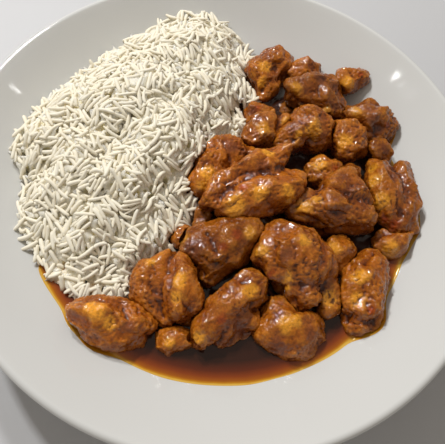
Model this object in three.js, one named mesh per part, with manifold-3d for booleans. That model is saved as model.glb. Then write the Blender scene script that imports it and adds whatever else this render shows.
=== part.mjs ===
// Braised chicken in a dark sauce beside a heap of long-grain rice, in a wide white bowl.
// Millimetres, +Z up. The origin is the centre of the foot ring, on the surface the bowl stands on.
// The near side of the bowl, where the sauce shows, is -Y; the rice lies to the left, -X.

import * as THREE from 'three';
import { ConvexGeometry } from 'three/addons/geometries/ConvexGeometry.js';
import { mergeVertices } from 'three/addons/utils/BufferGeometryUtils.js';
import Module from 'manifold-3d';

const wasm = await Module();
wasm.setup();

// ---- Driving dimensions -----------------------------------------------------------------------

const RIM_RADIUS = 130;      // outermost edge of the bowl
const RIM_HEIGHT = 45;       // crest of the lip above the table
const LIP_RADIUS = 2.2;      // half the thickness of the rounded lip
const FLOOR_HEIGHT = 9;      // eating surface at the middle of the bowl
const WELL_RADIUS = 45;      // flat middle, before the wall starts to rise
const WALL_CURVE = 1.8;      // how late the inside wall turns up
const OUTER_CURVE = 1.55;    // the same for the outside
const FOOT_INNER = 56.5;     // foot ring, measured on its flat face
const FOOT_OUTER = 62;
const FOOT_FLARE = 64;       // where the foot ring meets the outside wall
const FOOT_HEIGHT = 5;
const BASE_HOLLOW = 3.5;     // underside of the floor inside the foot ring
const FOOT_TAPER = 1.5;      // how much the foot ring's inner side leans in
const TURNS = 40;            // sides of every turned shape
const LIP_ANGLES = [135, 90, 45, 0];  // degrees round the lip, from inside to outside

const GAP = 0.35;            // clearance between neighbouring pieces
const MERGE_DISTANCE = 1e-4; // corners nearer than this are one
const SAUCE_LEVEL = 24.2;    // top of the pooled sauce
const SAUCE_BACK = 66;       // how far back the sauce runs
const SMALLEST_POOL = 60;    // mm3, below which a drop between two chunks is left out

const USUAL_DOWN = 1.25;     // how much further a chunk reaches below its balls than above
const LOBE_BLEND = 2.2;      // how tightly the lobes of one chunk hug their own balls
const CRAG_HEIGHT = 1.1;     // uneven crust on the chunks
const CRAG_SPACING = 9;      // from one crag to the next
const SURFACE_STEP = 0.25;   // how finely a chunk's surface is searched for
const LARGE_CHUNK = 16.5;    // half-length from which a chunk is given the finer facets
const CREASED_SEED_STEP = 100;  // keeps the crust of a chunk's two bodies from repeating

const NOISE_WAVES = 7;       // sine waves summed in the smooth noise
const NOISE_SCALE = 3;       // what their sum is divided by
const NOISE_SPREAD = 0.4;    // share by which their lengths differ

const RICE_CENTRE = [-47, 22];
const RICE_HEIGHT = 36;      // heap above the bowl at its middle
const RICE_EDGE = 3;         // thickness of the heap at its outline
const RICE_SHOULDER = 2.6;   // flatness of the top: higher is flatter with steeper edges
const RICE_BUMP = 1.1;       // grain-sized unevenness of the core
const RICE_RINGS = 10;       // rings of points over the core
const RICE_WAVE = 0.1;       // share by which the heap's height wanders
const RICE_WAVE_SPACING = 42;
const RICE_WAVE_SEED = 5;
const RICE_BUMP_SEED = 11;
const GRAIN_LENGTH = 8.2;
const GRAIN_WIDTH = 2.4;
const GRAIN_COUNT = 52;
const GRAIN_SEED = 23;
const GRAIN_TRIES = 6000;
const GRAIN_REACH = 0.99;    // how far out over the heap the grains stand
const GRAIN_SPACING = 8;     // least distance between two of the grains that stand out
const GRAIN_TILT = 0.9;      // radians between the steepest grains each way
const GRAIN_CLEARANCE = 6.5; // from a grain's middle to the nearest ball of meat

// Outline of the rice where it meets the bowl, and on the right where it runs under the chicken.
const RICE_OUTLINE = [
  [-26, 106], [-46, 98], [-70, 75], [-86, 52], [-100, 25], [-103, 3], [-94, -14], [-91, -33],
  [-76, -51], [-55, -62], [-31, -60], [-16, -41], [-2, -22], [1, 4], [8, 28], [12, 54],
  [8, 82], [-7, 101],
];

// The chunks of chicken, from the bottom of the pile to the top. `at` is a chunk's place, and each
// of its bodies is a list of lobes: x, y, z from that place, and a radius. Two bodies of one chunk
// meet in a crease. `down` says how much further than usual a chunk reaches down to what carries it.
const CHUNKS = [
  { name: 'chunk_under_middle', at: [19, -5, 20], bodies: [
    [[0, -1, 0, 9.5], [8, 4, 0, 9.5], [-7, -3, -1, 8]],
  ] },
  { name: 'chunk_under_back', at: [35, 64, 20], bodies: [
    [[-7, -2, 0, 7], [0, 1, 0, 6.5], [7, 0, 0, 6.5]],
  ] },
  { name: 'chunk_left_bit', at: [-14, -29, 29], down: 2, bodies: [
    [[-2, -1, 1, 4.5], [1, -3, 0, 4.5], [1, 3, 0, 4]],
  ] },
  { name: 'chunk_left_dark', at: [-8, -18, 29], down: 2, bodies: [
    [[1, 2, 1, 4.5], [0, -2, -1, 4.5]],
  ] },
  { name: 'chunk_right_bit', at: [80, 38, 29], bodies: [
    [[-3, 1, 1, 5], [2, 2, 1, 4.5], [1, -2, -2, 5]],
  ] },
  { name: 'chunk_front_bit', at: [-11, -80, 24], bodies: [
    [[-5, -1, 0, 4.5], [0, 1, 1, 5.5], [5, 3, 2, 5.5], [0, -2, -1, 4]],
  ] },
  { name: 'chunk_ridge_behind', at: [11, 52, 26], down: 1.8, bodies: [
    [[-1, 2, 1, 5.5], [4, 2, -1, 6], [-2, -4, -1, 4]],
  ] },
  { name: 'chunk_right_small', at: [88, -13, 26], bodies: [
    [[-6, -1, 1, 5.5], [0, 1, 1, 6.5], [5, 4, 1, 5], [-1, -4, -1, 5]],
  ] },
  { name: 'chunk_front_knob', at: [61, -25, 27], down: 1.7, bodies: [
    [[-2, 3, 1, 6], [3, 5, 1, 5.5], [1, -2, 0, 6], [-1, -5, -3, 5]],
  ] },
  { name: 'chunk_front_low', at: [42, -67, 24], bodies: [
    [[-10, 11, 2, 6.5], [-6, 4, 3, 8], [-10, -2, 2, 7], [1, 2, 2, 9], [8, 3, 1, 7],
      [-1, -5, -1, 8], [6, -4, -2, 7.5], [11, -1, -2, 5], [1, -9, -3, 4]],
  ] },
  { name: 'chunk_back_tip', at: [36, 86, 29], down: 1.5, bodies: [
    [[-1, 1, 1, 6.5], [6, 1, 0, 5], [-5, -3, -1, 5.5]],
  ] },
  { name: 'chunk_back_curl', at: [61, 81, 33], bodies: [
    [[-3, -1, 1, 6.5], [4, 2, 1, 5.5], [-1, -6, -2, 4.5], [8, -1, 0, 3], [-7, 4, 1, 3]],
  ] },
  { name: 'chunk_back_left', at: [16, 79, 27], bodies: [
    [[3, 10, 3, 9], [-6, 0, 3, 7.5], [-1, -6, 0, 8], [-2, -11, -3, 5.5], [6, 7, -4, 8]],
  ] },
  { name: 'chunk_right_back', at: [50, 19, 32], down: 2.4, bodies: [
    [[-5, 0, 0, 5], [1, 2, 0, 6], [6, 3, -1, 4.5], [-1, -4, -1, 6]],
  ] },
  { name: 'chunk_right_round', at: [63, 40, 33], down: 2, bodies: [
    [[-5, 3, 1, 7.5], [2, 4, 1, 7], [-1, -5, -1, 7.5], [5, -2, 0, 5]],
  ] },
  { name: 'chunk_right_dark', at: [74, 56, 32], bodies: [
    [[-11, 0, 0, 6], [-3, 3, 1, 7], [5, 2, 1, 7], [9, -2, -1, 6], [2, -4, -2, 8]],
  ] },
  { name: 'chunk_front_oval', at: [74, -44, 27], bodies: [
    [[2, 19, 1, 6.5], [5, 15, 1, 6.5], [-1, 9, 2, 9], [4, 6, 1, 7], [-5, 1, 1, 7.5],
      [1, -2, 1, 9], [-4, -7, 0, 7], [3, -8, -1, 7]],
    [[-1, -13, -2, 6.5], [-5, -14, -3, 4.5], [4, -11, -3, 5]],
  ] },
  { name: 'chunk_left_low', at: [-38, -76, 29], down: 1.6, bodies: [
    [[-16, 1, 1, 6.5], [-10, 3, 2, 7.5], [-3, 3, 2, 8], [4, 3, 1, 7.5], [11, 1, 0, 7],
      [-5, -3, -1, 8], [4, -4, -3, 7.5], [12, -4, -4, 5]],
  ] },
  { name: 'chunk_back_dark', at: [43, 65, 33], down: 1.8, bodies: [
    [[-12, 1, 2, 7], [-3, 6, 1, 8], [6, 6, 1, 7], [4, -4, -1, 8], [12, -5, -2, 6],
      [-9, -3, 0, 5.5]],
  ] },
  { name: 'chunk_ridge_left', at: [20, 38, 33], down: 2.4, bodies: [
    [[-6, -4, 1, 9], [-1, 4, 1, 7.5], [-9, -7, -1, 6], [2, -1, -2, 7]],
    [[8, 5, 1, 6], [8, 2, -1, 5.5]],
  ] },
  { name: 'chunk_ridge_right', at: [38, 41, 36], down: 2.6, bodies: [
    [[-2, 4, 1, 7.5], [5, 3, 1, 9], [11, 0, 0, 5.5], [-2, 10, 1, 4], [5, -3, -3, 8]],
    [[-4, -5, 0, 8], [-10, -10, -1, 5.5]],
  ] },
  { name: 'chunk_right_long', at: [89, 8, 31], bodies: [
    [[-11, 16, 1, 7.5], [-8, 7, 2, 9.5], [-5, -3, 1, 9], [-5, -8, -2, 6]],
    [[1, 18, 0, 6.5], [3, 7, 0, 7.5], [5, -2, -1, 7], [1, -10, -2, 8], [7, -10, -1, 4.5],
      [10, -11, 0, 2.5]],
  ] },
  { name: 'chunk_middle_left', at: [0, 14, 34], down: 2.4, bodies: [
    [[-3, 6, 2, 7.5], [4, 7, 1, 7], [-8, -5, 2, 8], [-11, -15, 0, 7], [-5, -9, -2, 8],
      [1, 1, -2, 8]],
    [[12, 7, 0, 4.5], [8, 5, -2, 5]],
  ] },
  { name: 'chunk_left_folded', at: [-17, -58, 30], down: 2, bodies: [
    [[-12, 3, 0, 6.5], [-7, 8, 2, 7.5], [-1, 14, 2, 6], [-8, -1, -1, 7], [-9, -9, -3, 4],
      [-2, -5, -3, 7.5], [1, -12, -4, 4.5]],
    [[4, 14, 3, 5.5], [5, 7, 4, 7.5], [6, 0, 4, 8], [10, -2, 2, 7], [7, -6, 1, 6],
      [12, -9, -3, 4.5]],
  ] },
  { name: 'chunk_front_long', at: [13, -64, 29], down: 1.9, bodies: [
    [[7, 15, 5, 7], [10, 11, 3, 6.5], [3, 8, 4, 8], [-2, 3, 3, 8], [-6, -2, 2, 8],
      [-9, -8, 0, 7], [-13, -12, -2, 6]],
    [[4, 2, 0, 8], [0, -5, -2, 7.5], [8, 1, -3, 6.5], [-2, -11, -4, 5.5], [5, -5, -5, 5]],
  ] },
  { name: 'chunk_centre', at: [3, -33, 34], down: 2.3, bodies: [
    [[12, 10, 2, 7.5], [15, 7, 1, 6], [3, 8, 2, 8], [7, 2, 0, 9.5], [-4, 2, 1, 8],
      [-11, 2, 0, 7], [-1, -4, -1, 10], [-5, -9, -3, 7], [-4, -14, -5, 5], [-13, -2, -1, 5]],
  ] },
  { name: 'chunk_right_wedge', at: [55, -1, 36], down: 2.6, bodies: [
    [[-16, -7, 1, 5.5], [-20, -8, 1, 3.5], [-9, -3, 2, 7.5], [-2, -4, 2, 9], [6, -4, 1, 8],
      [15, -5, -1, 7.5], [-3, -8, -2, 6]],
    [[10, 4, 1, 9], [6, 13, 0, 7], [0, 6, 2, 8], [9, 21, -2, 5.5]],
  ] },
  { name: 'chunk_front_craggy', at: [44, -40, 34], down: 2.2, bodies: [
    [[-17, 14, 3, 7], [-10, 17, 4, 7], [-3, 15, 4, 7.5], [-19, 6, 2, 7], [-10, 6, 5, 9.5],
      [-3, 5, 5, 9.5], [5, 9, 3, 8], [8, 3, 2, 7], [1, 0, 2, 8], [-7, -1, 2, 8]],
    [[-3, -7, 0, 6.5], [2, -8, -1, 7], [-1, -13, -4, 5], [0, -18, -6, 3.5]],
    [[9, -1, -3, 6], [13, -7, -6, 6.5], [18, -10, -7, 4], [13, -13, -8, 5]],
  ] },
  { name: 'chunk_middle_gold', at: [18, 1, 42], bodies: [
    [[10, 16, 2, 6.5], [3, 10, 2, 7], [-3, 5, 2, 7.5], [-10, 0, 1, 7.5], [-16, -6, -1, 8],
      [-21, -13, -4, 8], [17, 16, 1, 3.5]],
    [[13, -1, -1, 9.5], [4, -5, 0, 10], [-4, -10, -1, 10], [-12, -14, -4, 9], [18, 7, -1, 3.5]],
  ] },
];

// ---- Small helpers ----------------------------------------------------------------------------

function seededRandom(seed) {
  let state = seed;
  return () => {
    state = (state + 0x6d2b79f5) | 0;
    let t = Math.imul(state ^ (state >>> 15), 1 | state);
    t = (t + Math.imul(t ^ (t >>> 7), 61 | t)) ^ t;
    return ((t ^ (t >>> 14)) >>> 0) / 4294967296;
  };
}

// Smooth noise between about -1 and 1: a few sine waves in random directions.
function smoothNoise(seed, spacing) {
  const random = seededRandom(seed);
  const terms = [];
  for (let i = 0; i < NOISE_WAVES; i++) {
    const direction = new THREE.Vector3(random() - 0.5, random() - 0.5, random() - 0.5).normalize();
    direction.multiplyScalar((2 * Math.PI / spacing) * (1 + NOISE_SPREAD * (2 * random() - 1)));
    terms.push({ direction, phase: 2 * Math.PI * random() });
  }
  const sum = (p) => terms.reduce((total, t) => total + Math.sin(t.direction.dot(p) + t.phase), 0);
  return (p) => sum(p) / NOISE_SCALE;
}

function toSolid(geometry) {
  const bare = geometry.index ? geometry.clone() : geometry;
  bare.deleteAttribute('normal');
  bare.deleteAttribute('uv');
  const merged = mergeVertices(bare, MERGE_DISTANCE);
  return new wasm.Manifold(new wasm.Mesh({
    numProp: 3,
    vertProperties: new Float32Array(merged.attributes.position.array),
    triVerts: new Uint32Array(merged.index.array),
  }));
}

function toGeometry(solid, origin) {
  const { vertProperties, triVerts } = solid.getMesh();
  const geometry = new THREE.BufferGeometry();
  geometry.setAttribute('position', new THREE.BufferAttribute(vertProperties, 3));
  geometry.setIndex(new THREE.BufferAttribute(triVerts, 1));
  geometry.translate(-origin.x, -origin.y, -origin.z);
  geometry.computeVertexNormals();
  return geometry;
}

// The biggest connected body of a cut, without the loose scraps.
function largestBody(solid) {
  const bodies = solid.decompose();
  bodies.sort((a, b) => b.volume() - a.volume());
  return bodies[0];
}

function turned(profile) {
  const points = profile.map(([r, z]) => new THREE.Vector2(r, z));
  return new THREE.LatheGeometry(points, TURNS).rotateX(Math.PI / 2);
}

// ---- Bowl -------------------------------------------------------------------------------------

const LIP_CENTRE = [RIM_RADIUS - LIP_RADIUS, RIM_HEIGHT - LIP_RADIUS];
const INNER_EDGE = LIP_CENTRE[0] - LIP_RADIUS;
const INNER_RADII = [WELL_RADIUS, 61, 77, 93, 109, INNER_EDGE];
const OUTER_RADII = [112, 94, 78, FOOT_FLARE];

function insideHeight(r) {
  const along = Math.max(0, r - WELL_RADIUS) / (INNER_EDGE - WELL_RADIUS);
  return FLOOR_HEIGHT + (LIP_CENTRE[1] - FLOOR_HEIGHT) * along ** WALL_CURVE;
}

function outsideHeight(r) {
  const along = (r - FOOT_FLARE) / (RIM_RADIUS - FOOT_FLARE);
  return FOOT_HEIGHT + (LIP_CENTRE[1] - FOOT_HEIGHT) * along ** OUTER_CURVE;
}

function bowlSolid() {
  const inside = INNER_RADII.map((r) => [r, insideHeight(r)]);
  const lip = LIP_ANGLES.map((degrees) => {
    const a = THREE.MathUtils.degToRad(degrees);
    return [LIP_CENTRE[0] + LIP_RADIUS * Math.cos(a), LIP_CENTRE[1] + LIP_RADIUS * Math.sin(a)];
  });
  const outside = OUTER_RADII.map((r) => [r, outsideHeight(r)]);
  const foot = [[FOOT_OUTER, 0], [FOOT_INNER, 0], [FOOT_INNER - FOOT_TAPER, BASE_HOLLOW]];
  const profile = [[0, FLOOR_HEIGHT], ...inside, ...lip, ...outside, ...foot, [0, BASE_HOLLOW]];
  return toSolid(turned(profile.reverse()));
}

// Everything above the inside of the bowl, with the clearance: food is trimmed to this.
function foodSpace() {
  const wall = INNER_RADII.map((r) => [r, insideHeight(r) + GAP]);
  const top = RIM_HEIGHT * 2;
  return toSolid(turned([[0, FLOOR_HEIGHT + GAP], ...wall, [INNER_EDGE, top], [0, top]]));
}

// ---- Chicken ----------------------------------------------------------------------------------

// One body of a chunk: balls of meat grown together, sampled outward from their middle.
// Below its centre each ball is stretched `down` times, so that a chunk sits on what is under it.
function meatBody(lobes, at, down, seed, grow) {
  const balls = lobes.map(([x, y, z, r]) => ({ c: new THREE.Vector3(x, y, z).add(at), r }));
  const middle = new THREE.Vector3();
  balls.forEach((ball) => middle.addScaledVector(ball.c, 1 / balls.length));
  const reach = new THREE.Vector3();
  balls.forEach(({ c, r }) => {
    reach.x = Math.max(reach.x, Math.abs(c.x - middle.x) + r);
    reach.y = Math.max(reach.y, Math.abs(c.y - middle.y) + r);
    reach.z = Math.max(reach.z, Math.abs(c.z - middle.z) + r);
  });
  const filled = (p) => balls.reduce((sum, { c, r }) => {
    const dz = (p.z - c.z) / (p.z < c.z ? down : 1);
    const d2 = (p.x - c.x) ** 2 + (p.y - c.y) ** 2 + dz ** 2;
    return sum + Math.exp(-LOBE_BLEND * (d2 / (r * r) - 1));
  }, 0);
  const crag = smoothNoise(seed, CRAG_SPACING);
  const size = Math.max(reach.x, reach.y);
  const detail = size > LARGE_CHUNK ? 2 : 1;
  const geometry = new THREE.IcosahedronGeometry(1, detail);
  const position = geometry.attributes.position;
  const direction = new THREE.Vector3();
  const p = new THREE.Vector3();
  for (let i = 0; i < position.count; i++) {
    direction.fromBufferAttribute(position, i).multiply(reach).normalize();
    let t = reach.length() * down;
    while (t > 1 && filled(p.copy(middle).addScaledVector(direction, t)) < 1) {
      t -= SURFACE_STEP;
    }
    t += CRAG_HEIGHT * crag(p) + grow;
    p.copy(middle).addScaledVector(direction, t);
    position.setXYZ(i, p.x, p.y, p.z);
  }
  return toSolid(geometry);
}

function chunkBodies(chunk, seed, grow) {
  const at = new THREE.Vector3(...chunk.at);
  const down = chunk.down ?? USUAL_DOWN;
  return chunk.bodies.map((lobes, i) => meatBody(
    lobes, at, down, seed + CREASED_SEED_STEP * i, grow));
}

function joined(solids) {
  return solids.reduce((whole, solid) => whole.add(solid));
}

// The upright prism round what dips into the sauce.
function wetFootprint(solid) {
  const { vertProperties } = solid.getMesh();
  const points = [];
  for (let i = 0; i < vertProperties.length; i += 3) {
    const [x, y] = vertProperties.slice(i, i + 2);
    points.push(new THREE.Vector3(x, y, 0), new THREE.Vector3(x, y, RIM_HEIGHT));
  }
  return toSolid(new ConvexGeometry(points));
}

// ---- Rice -------------------------------------------------------------------------------------

const outlineCurve = new THREE.CatmullRomCurve3(
  RICE_OUTLINE.map(([x, y]) => new THREE.Vector3(x, y, 0)), true, 'centripetal');
const riceMiddle = new THREE.Vector3(...RICE_CENTRE, 0);
const riceNoise = smoothNoise(RICE_WAVE_SEED, RICE_WAVE_SPACING);

function ricePoint(along, out) {
  const edge = outlineCurve.getPointAt(along);
  const p = new THREE.Vector3().lerpVectors(riceMiddle, edge, out);
  const lift = RICE_HEIGHT * (1 - out ** RICE_SHOULDER) * (1 + RICE_WAVE * riceNoise(p));
  p.z = insideHeight(Math.hypot(p.x, p.y)) + RICE_EDGE + lift;
  return p;
}

// The heap's core: rings of 6, 12, 18 ... points over the top, an upright side and a flat underside,
// which the bowl then trims. Every point is lifted or dropped a little, as grains do.
function riceCore() {
  const random = seededRandom(RICE_BUMP_SEED);
  const vertices = [];
  const triangles = [];
  const start = (ring) => (ring === 0 ? 0 : 1 + 3 * ring * (ring - 1));
  const around = (ring, i) => start(ring) + (ring === 0 ? 0 : i % (6 * ring));
  for (let ring = 0; ring <= RICE_RINGS; ring++) {
    for (let i = 0; i < Math.max(1, 6 * ring); i++) {
      const p = ricePoint(i / Math.max(1, 6 * ring), ring / RICE_RINGS);
      const bump = RICE_BUMP * (2 * random() - 1);
      const shift = RICE_BUMP * (random() - 0.5);
      vertices.push(p.x + shift, p.y - shift, p.z + bump);
    }
  }
  for (let ring = 0; ring < RICE_RINGS; ring++) {
    for (let sector = 0; sector < 6; sector++) {
      for (let i = 0; i <= ring; i++) {
        const inner = sector * ring + i;
        const outer = sector * (ring + 1) + i;
        triangles.push(around(ring, inner), around(ring + 1, outer), around(ring + 1, outer + 1));
        if (i < ring) {
          triangles.push(around(ring, inner), around(ring + 1, outer + 1), around(ring, inner + 1));
        }
      }
    }
  }
  const sides = 6 * RICE_RINGS;
  const foot = start(RICE_RINGS + 1);
  for (let i = 0; i < sides; i++) {
    const rim = start(RICE_RINGS) + i;
    const nextRim = start(RICE_RINGS) + ((i + 1) % sides);
    const nextFoot = foot + ((i + 1) % sides);
    vertices.push(vertices[3 * rim], vertices[3 * rim + 1], 0);
    triangles.push(rim, foot + i, nextFoot, rim, nextFoot, nextRim, foot + sides, nextFoot, foot + i);
  }
  vertices.push(riceMiddle.x, riceMiddle.y, 0);
  const geometry = new THREE.BufferGeometry();
  geometry.setAttribute('position', new THREE.Float32BufferAttribute(vertices, 3));
  geometry.setIndex(triangles);
  return toSolid(geometry);
}

// The upright prism over the outline: the sauce stops at it.
function riceFootprint(grow) {
  const shape = new THREE.Shape();
  const sides = 6 * RICE_RINGS;
  for (let side = 0; side < sides; side++) {
    const p = outlineCurve.getPointAt(side / sides);
    p.add(p.clone().sub(riceMiddle).setLength(grow));
    if (side === 0) {
      shape.moveTo(p.x, p.y);
    } else {
      shape.lineTo(p.x, p.y);
    }
  }
  return toSolid(new THREE.ExtrudeGeometry(shape, { depth: RIM_HEIGHT, bevelEnabled: false }));
}

function grainSolid(at, yaw, pitch) {
  const grain = new THREE.SphereGeometry(1, 5, 3);
  grain.scale(GRAIN_WIDTH / 2, GRAIN_LENGTH / 2, GRAIN_WIDTH / 2);
  grain.rotateX(pitch);
  grain.rotateZ(yaw);
  grain.translate(at.x, at.y, at.z);
  return toSolid(grain);
}

function clearOfChicken(p, margin) {
  return CHUNKS.every(({ at, bodies }) => bodies.flat().every(([x, y, z, r]) => {
    const d = Math.hypot(p.x - at[0] - x, p.y - at[1] - y, p.z - at[2] - z);
    return d > r + margin;
  }));
}

// Grains spread evenly over the heap, each far enough from the others, the chicken and the sauce.
function grainPlaces() {
  const random = seededRandom(GRAIN_SEED);
  const places = [];
  for (let tries = 0; tries < GRAIN_TRIES && places.length < GRAIN_COUNT; tries++) {
    const p = ricePoint(random(), Math.sqrt(random()) * GRAIN_REACH);
    const yaw = 2 * Math.PI * random();
    const pitch = (random() - 0.5) * GRAIN_TILT;
    const low = p.z < SAUCE_LEVEL + GRAIN_LENGTH / 2;
    const apart = places.every((q) => q.p.distanceTo(p) > GRAIN_SPACING);
    if (!low && apart && clearOfChicken(p, GRAIN_CLEARANCE)) {
      places.push({ p, yaw, pitch });
    }
  }
  return places;
}

// ---- Assembly ---------------------------------------------------------------------------------

const glaze = new THREE.MeshStandardMaterial({ color: 0xe6e5df, roughness: 0.18, metalness: 0 });
const meat = new THREE.MeshStandardMaterial({ color: 0xa0581e, roughness: 0.35, metalness: 0 });
const grainWhite = new THREE.MeshStandardMaterial({ color: 0xe6dfcf, roughness: 0.55, metalness: 0 });
const darkSauce = new THREE.MeshStandardMaterial({ color: 0x3c1a0c, roughness: 0.12, metalness: 0 });

const serving = new THREE.Group();

function addPiece(name, solid, material, at = [0, 0, 0]) {
  const origin = new THREE.Vector3(...at);
  const mesh = new THREE.Mesh(toGeometry(solid, origin), material);
  mesh.name = name;
  mesh.position.copy(origin);
  serving.add(mesh);
}

const space = foodSpace();
addPiece('bowl', bowlSolid(), glaze);

// Chunks on top come last in the list and keep their whole form; the ones under them give way.
const grownBodies = CHUNKS.map((chunk, i) => chunkBodies(chunk, i + 1, GAP));
const grown = grownBodies.map(joined);
CHUNKS.forEach((chunk, i) => {
  let solid = joined(chunkBodies(chunk, i + 1, 0)).intersect(space);
  for (const above of grown.slice(i + 1)) {
    solid = solid.subtract(above);
  }
  addPiece(chunk.name, largestBody(solid), meat, chunk.at);
});

// The core is fitted to the chunks, then the grains that stand out are fused on and the bowl trims all.
let rice = riceCore();
for (const chunk of grown) {
  rice = rice.subtract(chunk);
}
for (const { p, yaw, pitch } of grainPlaces()) {
  rice = rice.add(grainSolid(p, yaw, pitch));
}
addPiece('rice_heap', largestBody(rice.intersect(space)), grainWhite, [...RICE_CENTRE, FLOOR_HEIGHT]);

// The sauce fills the bowl to its level. At the back the last chunks keep it from running on.
function sauceSolid() {
  const block = new THREE.BoxGeometry(2 * RIM_RADIUS, RIM_RADIUS + SAUCE_BACK, SAUCE_LEVEL);
  block.translate(0, (SAUCE_BACK - RIM_RADIUS) / 2, SAUCE_LEVEL / 2);
  const full = space.intersect(toSolid(block));
  let sauce = full.subtract(riceFootprint(RICE_BUMP + GAP));
  for (const body of grownBodies.flat()) {
    const wet = body.intersect(full);
    sauce = wet.isEmpty() ? sauce : sauce.subtract(wetFootprint(wet));
  }
  return sauce;
}

// The chunks that touch the wall part the sauce into a few pools; drops too small to see are left out.
sauceSolid().decompose()
  .filter((pool) => pool.volume() > SMALLEST_POOL)
  .sort((a, b) => b.volume() - a.volume())
  .forEach((pool, i) => addPiece(`sauce_pool_${i + 1}`, pool, darkSauce));

export default serving;
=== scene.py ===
# %% [markdown]
# # Braised chicken and rice in a white bowl
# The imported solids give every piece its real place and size. This lesson dresses them: it turns the
# bowl smoothly, grows folds and crust on each chunk of chicken, fills the sauce up to its level and
# drops a few thousand grains of rice on the heap, one by one, so that they really lie on each other.
# Lengths in the lesson are millimetres, and MM turns them into Blender's metres.

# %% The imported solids
import math
import time

import bpy
import numpy as np
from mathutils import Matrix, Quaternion, Vector, noise
from mathutils.bvhtree import BVHTree


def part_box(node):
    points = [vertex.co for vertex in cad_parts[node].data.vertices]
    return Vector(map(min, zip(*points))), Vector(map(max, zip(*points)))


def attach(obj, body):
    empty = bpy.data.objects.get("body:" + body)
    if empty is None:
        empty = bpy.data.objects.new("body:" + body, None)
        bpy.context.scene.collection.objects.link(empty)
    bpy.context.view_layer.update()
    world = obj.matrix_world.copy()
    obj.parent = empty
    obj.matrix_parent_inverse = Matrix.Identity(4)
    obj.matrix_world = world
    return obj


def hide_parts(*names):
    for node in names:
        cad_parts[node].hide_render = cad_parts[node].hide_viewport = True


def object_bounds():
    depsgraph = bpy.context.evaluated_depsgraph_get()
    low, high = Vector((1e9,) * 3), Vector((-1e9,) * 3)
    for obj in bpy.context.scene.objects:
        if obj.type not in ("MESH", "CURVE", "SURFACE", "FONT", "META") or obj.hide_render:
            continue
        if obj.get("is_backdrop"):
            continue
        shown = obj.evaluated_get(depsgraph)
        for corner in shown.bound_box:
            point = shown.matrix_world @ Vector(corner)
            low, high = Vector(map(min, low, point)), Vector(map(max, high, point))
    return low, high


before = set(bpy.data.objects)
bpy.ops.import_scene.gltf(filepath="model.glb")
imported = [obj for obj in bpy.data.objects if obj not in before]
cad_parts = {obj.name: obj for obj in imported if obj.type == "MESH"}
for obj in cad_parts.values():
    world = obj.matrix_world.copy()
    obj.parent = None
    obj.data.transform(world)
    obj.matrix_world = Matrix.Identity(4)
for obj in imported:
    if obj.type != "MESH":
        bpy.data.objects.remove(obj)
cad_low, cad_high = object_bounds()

MM = 0.001
NOISE_SEED = 12
noise.seed_set(NOISE_SEED)
began = time.time()


def tell(*words):
    """Prints what was made or measured, and how long the lesson has run."""
    print(*words, f"({time.time() - began:.1f} s)")


tell(len(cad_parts), "solids, box", [round(x / MM, 1) for x in (cad_high - cad_low)])

# %% [markdown]
# ## Camera
# The photo looks down steeply on the bowl, a little turned. Its place was fitted to the rim, which is
# a circle of a known size, so the camera stands where the real one stood and the picture needs no
# shift. A focal length of so many pixels for a picture of so many pixels is the same as one in
# millimetres on a sensor of that share.

# %% Camera
PHOTO_WIDTH = 445
FOCAL_PIXELS = 600
SENSOR_WIDTH = 36
CAMERA_AT = Vector((3.1, -150.7, 290.4))
CAMERA_AIM = Vector((3.1, -25.8, 45.0))
CAMERA_ROLL = math.radians(8.91)

lens = bpy.data.cameras.new("camera")
lens.sensor_width = SENSOR_WIDTH
lens.sensor_fit = "HORIZONTAL"
lens.lens = FOCAL_PIXELS / PHOTO_WIDTH * SENSOR_WIDTH
lens.clip_start = 10 * MM
camera = bpy.data.objects.new("camera", lens)
camera.location = CAMERA_AT * MM
camera.rotation_mode = "QUATERNION"
towards = (CAMERA_AIM - CAMERA_AT).to_track_quat("-Z", "Y")
camera.rotation_quaternion = towards @ Quaternion((0, 0, 1), CAMERA_ROLL)
bpy.context.scene.collection.objects.link(camera)
bpy.context.scene.camera = camera
tell("lens", round(lens.lens, 2), "mm")

# %% [markdown]
# ## Shader maths as plain Python
# A material is a tree of nodes. Written out node by node it is hard to read, so a Wire wraps the
# socket that a value comes out of, and its operators add the nodes: `1 - mask * 0.5` makes two of
# them. Numbers go through Math nodes. Colours and vectors go through Vector Math and Mix nodes,
# because a Math node would turn a colour grey.

# %% Wires
class Wire:
    """A socket that a value comes out of, with arithmetic that adds nodes."""

    def __init__(self, finish, socket):
        self.finish = finish
        self.socket = socket

    def combine(self, operation, other, swapped=False):
        """A Math node on numbers, or a Vector Math node where a colour or a vector takes part."""
        plain = self.socket.type == "VALUE" and (
            not isinstance(other, Wire) or other.socket.type == "VALUE")
        kind = "ShaderNodeMath" if plain else "ShaderNodeVectorMath"
        inputs = [other, self] if swapped else [self, other]
        return self.finish.node(kind, {"operation": operation}, dict(enumerate(inputs)))

    def __add__(self, other):
        return self.combine("ADD", other)

    def __sub__(self, other):
        return self.combine("SUBTRACT", other)

    def __rsub__(self, other):
        return self.combine("SUBTRACT", other, swapped=True)

    def __mul__(self, other):
        return self.combine("MULTIPLY", other)

    __radd__ = __add__
    __rmul__ = __mul__

    def between(self, low, high):
        """0 below low, 1 above high, and smooth between them."""
        return self.finish.node(
            "ShaderNodeMapRange", {"interpolation_type": "SMOOTHSTEP"},
            {"Value": self, "From Min": low, "From Max": high})

    def mix(self, first, second):
        """The first colour where this wire is 0, the second where it is 1."""
        return self.finish.node(
            "ShaderNodeMix", {"data_type": "RGBA"}, {0: self, 6: first, 7: second}, output=2)


# %% [markdown]
# A Finish is one material. Every node that isn't arithmetic comes from its one method, node, which
# takes the node's type, the settings that say what the node does, and then its sockets, each with a
# value or a Wire. The other methods only name the nodes that this dish needs again and again.

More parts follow.
